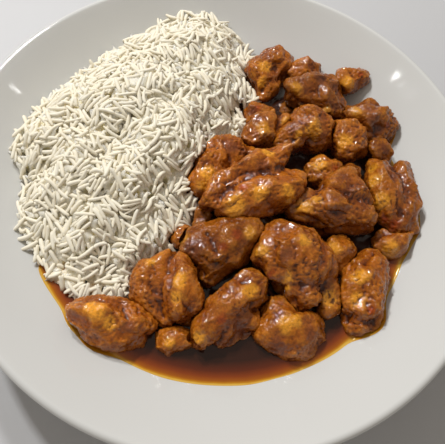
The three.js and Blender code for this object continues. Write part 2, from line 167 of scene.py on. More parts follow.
# %% Finishes
class Finish:
    """A material, named after what it finishes."""

    def __init__(self, name):
        self.material = bpy.data.materials.new(name)
        self.material.use_nodes = True
        self.tree = self.material.node_tree
        self.tree.nodes.clear()

    def node(self, kind, settings, inputs, output=0):
        """A node of that kind: its settings first, then its sockets, by name or number."""
        made = self.tree.nodes.new(kind)
        for name, value in settings.items():
            if name == "stops":
                ramp = made.color_ramp
                while len(ramp.elements) < len(value):
                    ramp.elements.new(1)
                for element, (place, colour) in zip(ramp.elements, value):
                    element.position = place
                    element.color = (*colour, 1)
            else:
                setattr(made, name, value)
        for name, value in inputs.items():
            socket = made.inputs[name]
            if isinstance(value, Wire):
                self.tree.links.new(value.socket, socket)
            elif isinstance(value, tuple) and socket.type == "RGBA":
                socket.default_value = (*value, 1)
            elif isinstance(value, (int, float)) and socket.type == "VECTOR":
                socket.default_value = (value, value, value)
            else:
                socket.default_value = value
        return Wire(self, made.outputs[output]) if made.outputs else None

    def place(self):
        """Where a point of the surface is, in metres, in the row's own frame."""
        return self.node("ShaderNodeTexCoord", {}, {}, output="Object")

    def painted(self, name):
        """A number that was worked out for each point of the mesh."""
        return self.node("ShaderNodeAttribute", {"attribute_name": name}, {}, output="Fac")

    def grain(self, size, detail=3):
        """Cloudy noise whose lumps are about that many millimetres apart, from 0 to 1."""
        inputs = {"Vector": self.place(), "Scale": 1 / (size * MM), "Detail": detail}
        return self.node("ShaderNodeTexNoise", {}, inputs)

    def bump(self, height, depth):
        """A normal bent by a height from 0 to 1, as deep as that many millimetres."""
        inputs = {"Height": height, "Distance": depth * MM, "Strength": 1}
        return self.node("ShaderNodeBump", {}, inputs)

    def shade(self, **sockets):
        """Finishes the material with one principled shader."""
        inputs = {name.replace("_", " "): value for name, value in sockets.items()}
        shader = self.node("ShaderNodeBsdfPrincipled", {}, inputs)
        self.node("ShaderNodeOutputMaterial", {}, {"Surface": shader})
        return self.material


# %% [markdown]
# ## From arrays to pieces
# Every piece is a mesh that is worked out with arrays of points, so one helper turns points and
# faces into a mesh in metres. A second one paints a number on each point, for the finish to read. A
# third makes the piece with its finish, and hides the solids that it stands for.

# %% Making a piece
def smooth_mesh(name, points, faces):
    mesh = bpy.data.meshes.new(name)
    mesh.from_pydata((np.asarray(points) * MM).tolist(), [], faces)
    mesh.update()
    mesh.shade_smooth()
    return mesh


def paint(mesh, name, values):
    layer = mesh.attributes.new(name, "FLOAT", "POINT")
    layer.data.foreach_set("value", np.asarray(values, np.float32))


def piece(mesh, material, slot, *nodes):
    made = bpy.data.objects.new(mesh.name, mesh)
    bpy.context.scene.collection.objects.link(made)
    mesh.materials.append(material)
    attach(made, "root")
    if nodes:
        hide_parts(*nodes)


# %% [markdown]
# ## Bowl
# A wide coupe bowl is thrown or pressed as one turned form: a flat well, a wall that opens out
# in one long curve, a rounded lip and a foot ring. It is made here the same way, as one profile
# turned about the middle, finer than the solid, so that the long highlights on the glaze run
# without a kink.

# %% Bowl profile
RIM_RADIUS = 130
RIM_HEIGHT = 45
LIP_RADIUS = 2.2
FLOOR_HEIGHT = 9
WELL_RADIUS = 45
WALL_CURVE = 1.8
OUTER_CURVE = 1.55
FOOT_INNER = 56.5
FOOT_OUTER = 62
FOOT_FLARE = 64
FOOT_HEIGHT = 5
FOOT_EDGE = 0.8
FOOT_DRAFT = 0.2
BASE_HOLLOW = 3.5
BASE_CORNER = 3
BASE_EASE = 0.3
LIP_AT = (RIM_RADIUS - LIP_RADIUS, RIM_HEIGHT - LIP_RADIUS)
INNER_EDGE = LIP_AT[0] - LIP_RADIUS
LIP_MEETS = math.radians(127)
EASED_FROM = 104
FIRST_RING = 4
INNER_POINTS, LIP_POINTS, OUTER_POINTS = 64, 16, 34


def inside_height(r):
    along = np.maximum(0, r - WELL_RADIUS) / (INNER_EDGE - WELL_RADIUS)
    return FLOOR_HEIGHT + (LIP_AT[1] - FLOOR_HEIGHT) * along ** WALL_CURVE


def outside_height(r):
    along = (r - FOOT_FLARE) / (RIM_RADIUS - FOOT_FLARE)
    return FOOT_HEIGHT + (LIP_AT[1] - FOOT_HEIGHT) * along ** OUTER_CURVE


def on_lip(angle):
    return LIP_AT[0] + LIP_RADIUS * math.cos(angle), LIP_AT[1] + LIP_RADIUS * math.sin(angle)


def eased_wall(r):
    """The inside wall, raised a little at its top so that it runs into the lip without a step."""
    meets, height = on_lip(LIP_MEETS)
    share = np.clip((r - EASED_FROM) / (meets - EASED_FROM), 0, 1)
    return inside_height(r) + (height - inside_height(meets)) * share ** 2 * (3 - 2 * share)


inner = [(r, eased_wall(r)) for r in np.linspace(FIRST_RING, on_lip(LIP_MEETS)[0], INNER_POINTS)]
lip = [on_lip(angle) for angle in np.linspace(LIP_MEETS, 0, LIP_POINTS)[1:-1]]
outer = [(r, outside_height(r)) for r in np.linspace(RIM_RADIUS, FOOT_FLARE, OUTER_POINTS)]
foot = [(FOOT_OUTER + FOOT_DRAFT, FOOT_EDGE), (FOOT_OUTER - FOOT_EDGE, 0),
        (FOOT_INNER + FOOT_EDGE, 0), (FOOT_INNER, FOOT_EDGE),
        (FOOT_INNER - BASE_CORNER / 3, BASE_HOLLOW - BASE_EASE),
        (FOOT_INNER - BASE_CORNER, BASE_HOLLOW)]
profile = [(0, FLOOR_HEIGHT), *inner, *lip, *outer, *foot, (0, BASE_HOLLOW)]
tell("profile:", len(profile), "points")

# %% [markdown]
# Turning is plain arithmetic: each point of the profile becomes a ring of points about the upright
# axis, and quads join each ring to the next. The profile starts and ends on the axis, where a fan
# of triangles closes the form.

# %% Turning the bowl
BOWL_TURNS = 240


def revolve(profile, turns):
    """Points and faces of a closed form turned about the upright axis; the profile ends on it."""
    middle = profile[1:-1]
    angles = 2 * np.pi * np.arange(turns) / turns
    radius, height = np.array(middle).T
    ring = np.stack([np.outer(radius, np.cos(angles)), np.outer(radius, np.sin(angles)),
                     np.repeat(height[:, None], turns, 1)], -1).reshape(-1, 3)
    points = np.vstack([ring, [0, 0, profile[0][1]], [0, 0, profile[-1][1]]])
    first, last = len(ring), len(ring) + 1
    end = (len(middle) - 1) * turns
    faces = []
    for i in range(turns):
        j = (i + 1) % turns
        for a in range(0, end, turns):
            b = a + turns
            faces.append((a + i, b + i, b + j, a + j))
        faces.append((first, i, j))
        faces.append((last, end + j, end + i))
    return points, faces


bowl_mesh = smooth_mesh("bowl_glazed", *revolve(profile, BOWL_TURNS))
tell("bowl:", len(bowl_mesh.polygons), "faces")

# %% [markdown]
# The glaze is a warm off-white, glossy but not a mirror. A real one is never quite even, so its
# colour drifts by a few hundredths over some centimetres, its gloss drifts too, and it has the
# faint waviness of a fired surface. The unglazed foot ring is a little darker and rough.

# %% Bowl glaze
GLAZE_GREYER, GLAZE_WHITER = (0.615, 0.62, 0.605), (0.64, 0.645, 0.635)
BARE_CLAY = (0.60, 0.55, 0.47)
BARE_BELOW, GLAZED_ABOVE = 0.4, 1.2

glaze = Finish("bowl_glaze")
height = glaze.node("ShaderNodeSeparateXYZ", {}, {0: glaze.place()}, output="Z")
bare = 1 - height.between(BARE_BELOW * MM, GLAZED_ABOVE * MM)
cloud = glaze.grain(60, detail=2).mix(GLAZE_GREYER, GLAZE_WHITER)
bowl_gloss = 0.03 + 0.04 * glaze.grain(25) + 0.5 * bare
wavy = glaze.bump(glaze.grain(14, detail=1), 0.05)
glaze_material = glaze.shade(
    Base_Color=bare.mix(cloud, BARE_CLAY), Roughness=bowl_gloss, Normal=wavy, IOR=1.5)
piece(bowl_mesh, glaze_material, "bowl_glaze", "bowl")
tell("glaze:", len(glaze.tree.nodes), "nodes")

# %% [markdown]
# ## Chicken
# Each chunk is a piece of thigh meat with a thin crust, simmered in the sauce, and its form has
# several scales: folds where the meat turned over, lumps and knobs of crust a few millimetres across,
# and fine grit. The solid gives its place and big lobes. A voxel remesh turns it into an even skin of
# small quads, relaxing takes the facets out, and then every point moves along its normal by a sum of
# noises. Doing it on the mesh and not in the material keeps the crust at the outline and in every
# view.

# %% An even skin
def even_net(mesh, voxel, adaptivity=0):
    """A mesh as one closed net of small faces: its points in millimetres, its edges and faces."""
    rough = bpy.data.objects.new("rough", mesh)
    bpy.context.scene.collection.objects.link(rough)
    remesh = rough.modifiers.new("even", "REMESH")
    remesh.mode = "VOXEL"
    remesh.voxel_size = voxel * MM
    remesh.adaptivity = adaptivity
    evaluated = rough.evaluated_get(bpy.context.evaluated_depsgraph_get())
    even = bpy.data.meshes.new_from_object(evaluated)
    points = np.empty(len(even.vertices) * 3)
    even.vertices.foreach_get("co", points)
    points = points.reshape(-1, 3) / MM
    edges = np.empty(len(even.edges) * 2, int)
    even.edges.foreach_get("vertices", edges)
    edges = edges.reshape(-1, 2)
    faces = [tuple(polygon.vertices) for polygon in even.polygons]
    bpy.data.objects.remove(rough)
    bpy.data.meshes.remove(even)
    return points, edges, faces


def fine_skin(node, voxel, rounds):
    """A copy of a solid as a relaxed net."""
    points, edges, faces = even_net(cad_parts[node].data.copy(), voxel)
    return relaxed(points, edges, rounds), edges, faces


# %% [markdown]
# Relaxing moves every point towards the mean of its neighbours and then back out by slightly more:
# the sharp edges of the facets vanish, and the broad form doesn't shrink. With whole arrays that is
# two counts over the edges, far quicker than a loop over the points.

# %% Relaxing a net
RELAX_IN, RELAX_OUT = 0.5, 0.52
TINY = 1e-9


def neighbour_mean(values, edges):
    """The mean of each point's neighbours, for an array of one row a point."""
    count = np.bincount(edges.ravel(), minlength=len(values))
    total = np.stack([
        np.bincount(edges[:, 0], column[edges[:, 1]], len(values))
        + np.bincount(edges[:, 1], column[edges[:, 0]], len(values))
        for column in values.T], -1)
    return total / count[:, None]


def relaxed(points, edges, rounds):
    """Smooths in steps of in and out, which takes bumps away and keeps the volume."""
    for _ in range(rounds):
        points = points + RELAX_IN * (neighbour_mean(points, edges) - points)
        points = points - RELAX_OUT * (neighbour_mean(points, edges) - points)
    return points


def normals_of(points, faces):
    """The normal at each point of a net of quads and triangles."""
    quads = np.array([face if len(face) == 4 else (*face, face[0]) for face in faces])
    first = points[quads[:, 2]] - points[quads[:, 0]]
    second = points[quads[:, 3]] - points[quads[:, 1]]
    face_normal = np.cross(first, second)
    total = np.stack([
        sum(np.bincount(quads[:, k], face_normal[:, axis], len(points)) for k in range(4))
        for axis in range(3)], -1)
    return total / np.maximum(np.linalg.norm(total, axis=1, keepdims=True), TINY)


# %% [markdown]
# The crust is a sum of four noises. Folds are pillows with sharp creases between them, stretched
# along the chunk. Lumps and knobs are the cells of Voronoi patterns of two sizes: the middle of a
# cell stands out and its border is a groove. Grit is fine cloudy noise. A slow noise says where the
# crust is rough and where it is smoother, and a noise of vectors leans every point a little sideways,
# so that crags overhang as they do on real crust.

# %% Crust of a chunk
FOLD_SIZE, FOLD_DEPTH, FOLD_BENT, FOLD_STRETCH = 15, 1.3, 3, 0.6
LUMP_SIZE, LUMP_DEPTH, LUMP_BENT = 4.8, 0.6, 2.5
KNOB_SIZE, KNOB_DEPTH, KNOB_BENT = 2.6, 0.66, 2
GRIT_SIZE, GRIT_DEPTH, GRIT_LEAST = 1.4, 0.44, 0.3
LEAN_SIZE, LEAN_DEPTH = 8.0, 1.3
ROUGH_SIZE, ROUGH_USUAL, ROUGH_SWING, ROUGH_LEAST = 15, 0.62, 1.2, 0.42
PILLOW_STEEP, CELL_STEEP = 2.6, 1.9
EVERY_FEW = 7   # enough points to find which way a chunk is longest


def noises(points, size, function):
    return np.array([function(Vector(point)) for point in points / size])


def billow(p):
    """Round pillows with sharp creases between them."""
    return min(1, PILLOW_STEEP * abs(noise.noise(p))) - 0.5


def cell(p):
    """Cells that stand out in their middles, with grooves between them."""
    near, second = noise.voronoi(p)[0][:2]
    return min(1, CELL_STEEP * (math.sqrt(second) - math.sqrt(near))) - 0.5


def crust(points, shift, craggy):
    """How far each point of a chunk stands out or in, in millimetres, and how it leans."""
    local = points - points.mean(0)
    along = np.linalg.svd(local[::EVERY_FEW], full_matrices=False)[2][0]
    squeezed = local - (1 - FOLD_STRETCH) * np.outer(local @ along, along)
    moved = local + shift
    lean = noises(moved, LEAN_SIZE, noise.noise_vector)
    rough = ROUGH_USUAL + ROUGH_SWING * noises(moved, ROUGH_SIZE, noise.noise)
    rough = np.clip(rough, ROUGH_LEAST, 1)
    total = FOLD_DEPTH * noises(squeezed + shift + FOLD_BENT * lean, FOLD_SIZE, billow)
    total += craggy * rough * LUMP_DEPTH * noises(moved + LUMP_BENT * lean, LUMP_SIZE, cell)
    total += craggy * rough * KNOB_DEPTH * noises(moved + KNOB_BENT * lean, KNOB_SIZE, cell)
    total += (GRIT_LEAST + rough) * GRIT_DEPTH * noises(moved + lean, GRIT_SIZE, noise.noise)
    return total, LEAN_DEPTH * lean


# %% [markdown]
# The solids keep a hair's breadth from each other and are cut by the ones on top. Real chunks slump
# until they touch, so the whole skin grows by a tenth of a millimetre, and each point that faces
# another chunk across a narrow gap grows a share of the way to it. Rays along the normals measure
# the gap.

# %% Slumping together
GROWN = 0.1
TOWARDS = 0.15
NARROW = 5.5
SLUMP_ROUNDS = 10
chunk_nodes = sorted(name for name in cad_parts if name.startswith("chunk_"))


def solid_faces(node):
    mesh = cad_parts[node].data
    points = np.array([vertex.co[:] for vertex in mesh.vertices]) / MM
    return points, [tuple(polygon.vertices) for polygon in mesh.polygons]


def tree_of(shells):
    """A search tree over several pieces, each given as its points and faces."""
    points, faces = [], []
    for shell_points, shell_faces in shells:
        start = len(points)
        points.extend(np.asarray(shell_points).tolist())
        faces.extend(tuple(start + k for k in face) for face in shell_faces)
    return BVHTree.FromPolygons(points, faces)


def slump(points, normal, edges, others):
    """How far each point grows, with a share of the gap where it faces another chunk."""
    grown = np.zeros(len(points))
    for k in range(len(points)):
        gap = others.ray_cast(Vector(points[k]), Vector(normal[k]), NARROW)[3]
        if gap is not None:
            grown[k] = TOWARDS * gap
    for _ in range(SLUMP_ROUNDS):
        grown = neighbour_mean(grown[:, None], edges)[:, 0]
    return grown + GROWN


solid_shells = {node: solid_faces(node) for node in chunk_nodes}
tell("chunks:", len(chunk_nodes))

# %% [markdown]
# No noise knows where this dish has its golden patch or its deep fold, so those are put where the
# photo has them, each on its own chunk, seen from above: golden crust, plum-coloured meat that shows
# through, ember-red pools of glaze, and furrows, which are lines that a chunk is creased along. A
# patch is its middle and radius, and a furrow is the points that it runs through.

# %% Marks on the chunks
GOLDEN = {
    "middle_gold": [(18, -10, 4.0), (31, -6, 3.6), (20, 13, 3.1), (8, -17, 4.5)],
    "middle_left": [(-8, 2, 3.6), (-9, -5, 3.1)], "centre": [(16, -28, 3.1), (-14, -33, 2.7)],
    "left_folded": [(-12, -56, 3.6), (-12, -63, 2.7), (-26, -48, 2.7)],
    "left_low": [(-44, -75, 4.0), (-38, -79, 3.1), (-48, -73, 2.7)],
    "front_long": [(20, -55, 3.6), (1, -78, 3.1)],
    "front_craggy": [(23, -36, 3.1), (57, -50, 3.6), (41, -30, 3.1), (36, -48, 3.1)],
    "front_low": [(38, -66, 4.0), (42, -64, 3.1)], "front_oval": [(70, -38, 4.0), (70, -49, 3.6)],
    "front_knob": [(58, -25, 3.1)], "right_small": [(86, -18, 3.6)],
    "right_wedge": [(40, -9, 4.0), (46, -5, 2.7)], "right_back": [(47, 19, 3.6)],
    "right_long": [(74, 14, 4.0), (79, 3, 4.0), (73, 22, 2.7)], "right_round": [(59, 35, 4.0)],
    "right_dark": [(64, 55, 3.1)], "back_dark": [(31, 63, 3.1), (48, 54, 2.7)],
    "back_curl": [(59, 75, 3.1)], "back_left": [(13, 78, 3.6), (13, 69, 2.7)],
    "ridge_left": [(16, 33, 3.6), (27, 40, 2.2)], "ridge_right": [(42, 36, 4.5), (35, 31, 2.7)],
    "front_bit": [(-12, -81, 2.7)],
}
PLUM = {
    "middle_gold": [(18, 4, 3.6)], "middle_left": [(2, 18, 4.0), (8, 18, 2.7)],
    "centre": [(-7, -39, 5.4)], "left_folded": [(-21, -61, 2.7)],
    "left_low": [(-55, -77, 3.1), (-30, -78, 3.1)], "front_long": [(19, -72, 4.5), (15, -77, 3.6)],
    "front_craggy": [(34, -38, 4.0)], "front_low": [(35, -75, 3.6), (50, -68, 3.6)],
    "right_small": [(80, -15, 2.2)], "right_wedge": [(60, 0, 3.6), (53, -12, 2.2)],
    "right_long": [(84, 17, 3.1), (88, 7, 3.1), (92, -1, 2.7)], "right_bit": [(81, 37, 2.7)],
    "right_dark": [(73, 51, 3.6), (78, 49, 2.7)], "back_dark": [(43, 70, 4.0), (52, 68, 3.6)],
    "back_left": [(25, 81, 2.7)], "ridge_behind": [(9, 51, 2.7)], "back_tip": [(39, 85, 2.7)],
}
EMBER = {
    "middle_gold": [(10, -9, 2.7)], "centre": [(10, -31, 3.6), (5, -37, 3.1)],
    "front_long": [(9, -69, 3.6)], "front_craggy": [(28, -45, 2.7)], "front_oval": [(76, -53, 2.7)],
    "right_wedge": [(49, 9, 2.7)], "right_back": [(55, 19, 2.7)],
    "right_long": [(86, -7, 4.0), (82, -4, 2.7)], "right_dark": [(82, 51, 2.2)],
    "back_curl": [(66, 81, 2.2)], "back_left": [(4, 77, 2.2)], "ridge_behind": [(12, 52, 2.2)],
}
FURROWS = {
    "middle_gold": [[(18, 2), (24, 3), (29, 8), (34, 6)], [(1, -7), (8, -2), (15, 1)],
                    [(27, 11), (29, 13), (34, 14)]],
    "middle_left": [[(-3, 20), (0, 15), (3, 11), (1, 3)]],
    "centre": [[(-10, -43), (-6, -46), (-1, -49)], [(-4, -31), (1, -37), (3, -44)]],
    "left_folded": [[(-17, -39), (-16, -47), (-16, -59)], [(-25, -58), (-21, -60), (-17, -62)],
                    [(-25, -65), (-22, -67)], [(-19, -65), (-17, -70)]],
    "left_low": [[(-36, -67), (-33, -73), (-30, -76)]],
    "front_long": [[(24, -61), (21, -68), (16, -76)]],
    "front_craggy": [[(29, -33), (27, -38), (30, -43), (36, -45), (41, -40)],
                     [(49, -42), (53, -47), (52, -51)], [(41, -54), (44, -59)]],
    "front_oval": [[(66, -58), (71, -60), (79, -57)], [(76, -22), (73, -30)]],
    "right_wedge": [[(37, -9), (42, -4), (48, 5)], [(49, -12), (54, -13), (60, -11)]],
    "right_long": [[(80, 26), (84, 14), (87, 4), (90, -3)]], "right_dark": [[(75, 48), (77, 45)]],
    "back_curl": [[(60, 81), (63, 77)]], "ridge_left": [[(23, 45), (24, 38), (24, 35)]],
    "ridge_right": [[(32, 29), (39, 30), (45, 31)]], "back_dark": [[(43, 64), (45, 57)]],
    "back_left": [[(13, 65), (18, 69), (24, 78)]],
}
patches = [place for marks in (GOLDEN, PLUM, EMBER) for places in marks.values() for place in places]
tell("marks:", len(patches), "patches,", sum(map(len, FURROWS.values())), "furrows")

# %% [markdown]
# A patch fades out from its middle as a bell curve does. A furrow is deepest on its line and fades
# to both sides, so the distance from each point to the nearest stretch of the line is all it takes.

# %% Patches and furrows
FURROW_WIDTH, FURROW_DEPTH, FURROW_FALL = 1.9, 1.5, 1.5


def spots(points, places):
    """How strongly each point lies in one of the round patches, from 0 to 1."""
    strength = np.zeros(len(points))
    for x, y, radius in places:
        away = np.hypot(points[:, 0] - x, points[:, 1] - y) / radius
        strength = np.maximum(strength, np.exp(-away ** 2))
    return strength


def creases(points, lines):
    """How deep each point lies in a furrow, from 0 to 1."""
    depth = np.zeros(len(points))
    flat = points[:, :2]
    for line in lines:
        for start, end in zip(line, line[1:]):
            start, run = np.array(start, float), np.subtract(end, start)
            share = np.clip((flat - start) @ run / (run @ run), 0, 1)
            away = np.linalg.norm(flat - start - share[:, None] * run, axis=1) / FURROW_WIDTH
            depth = np.maximum(depth, np.exp(-away ** FURROW_FALL))
    return depth


# %% [markdown]
# Some chunks sat deeper in the glaze than others and came out darker: their tone is a share of the
# full colour, read off the photo chunk by chunk. Their crust differs too: some are smoother than
# most, and two are craggier. The mesh also carries numbers for the finish: how deep a point lies in
# a narrow crease or a wide hollow, which is how far a softened copy of the skin passes over it, with
# 0.5 for a flat place, and how steep the flank is that it lies on.

# %% Skin of a chunk
TONE = {"centre": 0.66, "right_wedge": 0.78, "right_long": 0.76, "back_dark": 0.62, "ridge_left": 0.8,
        "ridge_right": 0.85, "front_long": 0.85, "front_craggy": 0.85, "front_low": 0.85,
        "middle_gold": 1.0, "middle_left": 1.0, "left_low": 1.0, "left_folded": 0.95, "front_oval": 0.9,
        "right_dark": 0.7, "under_middle": 0.5, "under_back": 0.5, "left_dark": 0.6, "right_bit": 0.7}
USUAL_TONE = 0.9
CRAGGY = {"centre": 0.6, "middle_gold": 0.75, "front_long": 0.7, "left_folded": 0.5,
          "right_long": 0.7, "back_dark": 1.2, "right_dark": 1.2}
CHUNK_VOXEL, CHUNK_ROUNDS = 0.6, 9
NOISE_APART = 53.0
UPWARD_STEEP, FLANK_STEEP = 2, 1.7
CREASE_ROUNDS, CREASE_CONTRAST = 5, 1.6
HOLLOW_ROUNDS, HOLLOW_CONTRAST = 30, 0.4


def chunk_mesh(node, number):
    mark = node.removeprefix("chunk_")
    points, edges, faces = fine_skin(node, CHUNK_VOXEL, CHUNK_ROUNDS)
    others = tree_of(shell for other, shell in solid_shells.items() if other != node)
    normal = normals_of(points, faces)
    out, lean = crust(points, NOISE_APART * number, CRAGGY.get(mark, 1))
    out += slump(points, normal, edges, others)
    upward = np.clip(UPWARD_STEEP * normal[:, 2], 0, 1)
    out -= FURROW_DEPTH * upward * creases(points, FURROWS.get(mark, []))
    painted = {name: upward * spots(points, places.get(mark, []))
               for name, places in (("golden", GOLDEN), ("plum", PLUM), ("ember", EMBER))}
    painted["tone"] = np.full(len(points), TONE.get(mark, USUAL_TONE))
    points = points + normal * out[:, None] + lean
    softened = points
    for name, rounds, contrast in (("crease", CREASE_ROUNDS, CREASE_CONTRAST),
                                   ("hollow", HOLLOW_ROUNDS, HOLLOW_CONTRAST)):
        for _ in range(rounds):
            softened = neighbour_mean(softened, edges)
        inward = ((softened - points) * normals_of(softened, faces)).sum(1)
        painted[name] = np.clip(0.5 + contrast * inward, 0, 1)
    painted["flank"] = np.clip(1 - FLANK_STEEP * normals_of(softened, faces)[:, 2], 0, 1)
    mesh = smooth_mesh(node + "_meat", points, faces)
    for name, values in painted.items():
        paint(mesh, name, values)
    return mesh, points, faces


# %% [markdown]
# Under its glaze the meat is amber, golden where the crust is thin and stands out, ember-red in
# pools of glaze, and red-brown in the wide hollows, partly for the sauce that collects there and
# partly as painted shade. The narrow creases are darkened with painted shade, and the steep and
# downward-facing flanks are painted darker, partly for sauce that runs down them and partly as
# painted shade. Dark meat shows through in purple-brown patches. The glaze itself is a clear coat,
# stronger where the chunk is wet: it gives the small hard glints. Fine grit in the crust breaks those
# glints up.

# %% Chicken finish
AMBER_DARK, AMBER_LIGHT = (0.235, 0.053, 0.004), (0.41, 0.115, 0.008)
GOLD, GOLD_BRIGHT = (0.58, 0.212, 0.018), (0.74, 0.305, 0.024)
EMBER_RED, PLUM_BROWN = (0.33, 0.045, 0.003), (0.18, 0.048, 0.018)
# hollow colour: sauce that collects there and painted shade; crease colour: painted shade
HOLLOW_SAUCE_AND_SHADE, CREASE_SHADE = (0.09, 0.014, 0.002), (0.050, 0.009, 0.003)
# painted shade and sauce that runs down: the colour of steep and downward flanks
FLANK_SAUCE_AND_SHADE = (0.10, 0.017, 0.003)

meat = Finish("chicken")
hollow, crease, flank = meat.painted("hollow"), meat.painted("crease"), meat.painted("flank")
blotch, fleck, grit = meat.grain(9), meat.grain(1.6), meat.grain(1.1)
ragged = 0.7 * (meat.grain(3) - 0.5)


def patch(name, least, most):
    """A painted patch, with a ragged border."""
    return (meat.painted(name) + ragged).between(least, most)


high = (1 - hollow.between(0.22, 0.5)) * fleck.between(0.3, 0.7)
colour = blotch.between(0.36, 0.64).mix(AMBER_DARK, AMBER_LIGHT)
colour = (high * 0.6).mix(colour, GOLD)
colour = patch("golden", 0.10, 0.75).mix(colour, GOLD_BRIGHT)
# painted shade and pooled sauce: red-brown, darkest in the wide hollows
colour = (hollow.between(0.50, 0.90) * 0.8).mix(colour, HOLLOW_SAUCE_AND_SHADE)
colour = (patch("ember", 0.3, 1.0) * 0.8).mix(colour, EMBER_RED)
colour = (patch("plum", 0.2, 0.8) * 0.7).mix(colour, PLUM_BROWN)
# painted shade: nearly black in the narrow creases
colour = (crease.between(0.60, 0.95) * 0.6).mix(colour, CREASE_SHADE)
# painted shade and sauce drip: darker on steep and downward-facing flanks
colour = ((flank + ragged) * 0.6).mix(colour, FLANK_SAUCE_AND_SHADE)
meat_colour = colour * meat.painted("tone") * (0.88 + 0.32 * grit.between(0.34, 0.66))
wet = meat.grain(7, detail=2).between(0.36, 0.60)
meat_material = meat.shade(
    Base_Color=meat_colour, Roughness=0.30 - 0.12 * wet, Normal=meat.bump(grit, 0.34), IOR=1.3,
    Subsurface_Weight=0.06, Subsurface_Radius=(1.0, 0.35, 0.1), Subsurface_Scale=1.2 * MM,
    Coat_Weight=0.2 + 0.5 * wet, Coat_Roughness=0.04)
tell("chicken finish:", len(meat.tree.nodes), "nodes")

# %% [markdown]
# All chunks share that one finish, and what was painted on each of them makes them differ. Their
# points and faces are kept, because the sauce and the rice have to fit round them.

# %% Chunks
chunk_shells = []
for number, node in enumerate(chunk_nodes):
    mesh, points, faces = chunk_mesh(node, number)
    piece(mesh, meat_material, "chicken", node)
    chunk_shells.append((points, faces))
tell("chunks:", len(chunk_shells), "with", sum(len(faces) for _, faces in chunk_shells), "faces")

# %% [markdown]
# ## What lies where, seen from above
# The sauce and the rice both have to fit what is there. Rays cast straight down on a grid give the
# height of the chicken and of the rice solid, and the height of the wall is known from its curve.

# %% Heights from above
ABOVE_ALL = 200
DOWN = Vector((0, 0, -1))
NOTHING = -100.0
HEAP_VOXEL, HEAP_ROUNDS = 1.6, 30


def heights(tree, xs, ys):
    """How high the pieces in a tree reach over a grid of places, or NOTHING beside them."""
    result = np.full((len(xs), len(ys)), NOTHING)
    for i, x in enumerate(xs):
        for j, y in enumerate(ys):
            hit = tree.ray_cast(Vector((x, y, ABOVE_ALL)), DOWN)[0]
            if hit is not None:
                result[i, j] = hit.z
    return result


def chicken_gap(point, reach):
    """How far the nearest chicken is, or None where there is none within reach."""
    return chicken_tree.find_nearest(Vector(point), reach)[3]


chicken_tree = tree_of(chunk_shells)
rice_points, _, rice_faces = fine_skin("rice_heap", HEAP_VOXEL, HEAP_ROUNDS)
rice_tree = tree_of([(rice_points, rice_faces)])
tell("skin of the heap:", len(rice_points), "points")

# %% [markdown]
# ## Sauce
# The pool ends where its level meets the wall, a little wavering, or under the rice, and straight
# across under the chicken. Its top is level, but it climbs about a millimetre up the chicken, and
# where a chunk leans on the wall the sauce is drawn out along its foot. First comes that edge, as one
# radius for each direction.

# %% Edge of the sauce
SAUCE_LEVEL = 23.4
SAUCE_BACK = 66
SAUCE_TURNS = 300
CLIMB = 1.1
EDGE_CLIMB = CLIMB * 0.3
# Waves round the bowl, their size in millimetres, and a layer of the noise.
SLOW_WAVER, QUICK_WAVER = (3, 1.0, 7), (11, 0.5, 3)
REACH_OUT, EDGE_STEP, FOOT_UP = 9, 0.5, 0.5
TOUCHING = 0.9
FILM_BESIDE = 1.4
UNDER_RICE = math.radians(150)
UNDER_RICE_FROM = math.cos(math.radians(62))
UNDER_RICE_EASE, TUCKED_IN = 0.06, 14
EDGE_ROUNDS = 4


def wall_radius(z):
    along = ((z - FLOOR_HEIGHT) / (LIP_AT[1] - FLOOR_HEIGHT)) ** (1 / WALL_CURVE)
    return WELL_RADIUS + along * (INNER_EDGE - WELL_RADIUS)


def waver(angle, waves, size, layer):
    """A slow noise along the edge that meets itself after a full turn."""
    return size * noise.noise(Vector((waves * math.cos(angle), waves * math.sin(angle), layer)))


def free_edge(angle):
    """Where the pool ends: on the bare wall, under the rice, or at its far side."""
    wavering = waver(angle, *SLOW_WAVER) + waver(angle, *QUICK_WAVER)
    edge = wall_radius(SAUCE_LEVEL + EDGE_CLIMB) + wavering
    past = (math.cos(angle - UNDER_RICE) - UNDER_RICE_FROM) / UNDER_RICE_EASE
    edge -= TUCKED_IN * min(1, max(0, past))
    behind = math.sin(angle) > 0.5
    return min(edge, SAUCE_BACK / math.sin(angle)) if behind else edge


def wetted_edge(angle):
    """As free_edge, but drawn out along the foot of any chunk that leans on the wall."""
    edge = free_edge(angle)
    for r in np.arange(edge, edge + REACH_OUT, EDGE_STEP):
        foot = (r * math.cos(angle), r * math.sin(angle), inside_height(r) + FOOT_UP)
        if chicken_gap(foot, TOUCHING) is not None:
            edge = r + FILM_BESIDE
    return edge


sauce_edges = np.array([wetted_edge(2 * math.pi * k / SAUCE_TURNS) for k in range(SAUCE_TURNS)])
for _ in range(EDGE_ROUNDS):
    sauce_edges = (sauce_edges + np.roll(sauce_edges, 1) + np.roll(sauce_edges, -1)) / 3
tell("sauce edge from", round(sauce_edges.min(), 1), "to", round(sauce_edges.max(), 1), "mm")

# %% [markdown]
# The top is a net of rings that also runs under the food. The rings are closer together near the
# edge, where the sauce is thin and shows most. Its small slopes at the chicken catch the light.

# %% Top of the sauce
SAUCE_RINGS, RINGS_CLOSER = 96, 1.5
CLIMB_REACH = 1.3
NEAR, NEAR_FOOT = 6, 4
FILM, FILM_DEEPER, WET_WALL = 0.4, 1.6, 0.03
SHALLOW, FILM_FROM = 0.5, 0.3
sauce_rings = 1 - np.linspace(1, 0, SAUCE_RINGS) ** RINGS_CLOSER


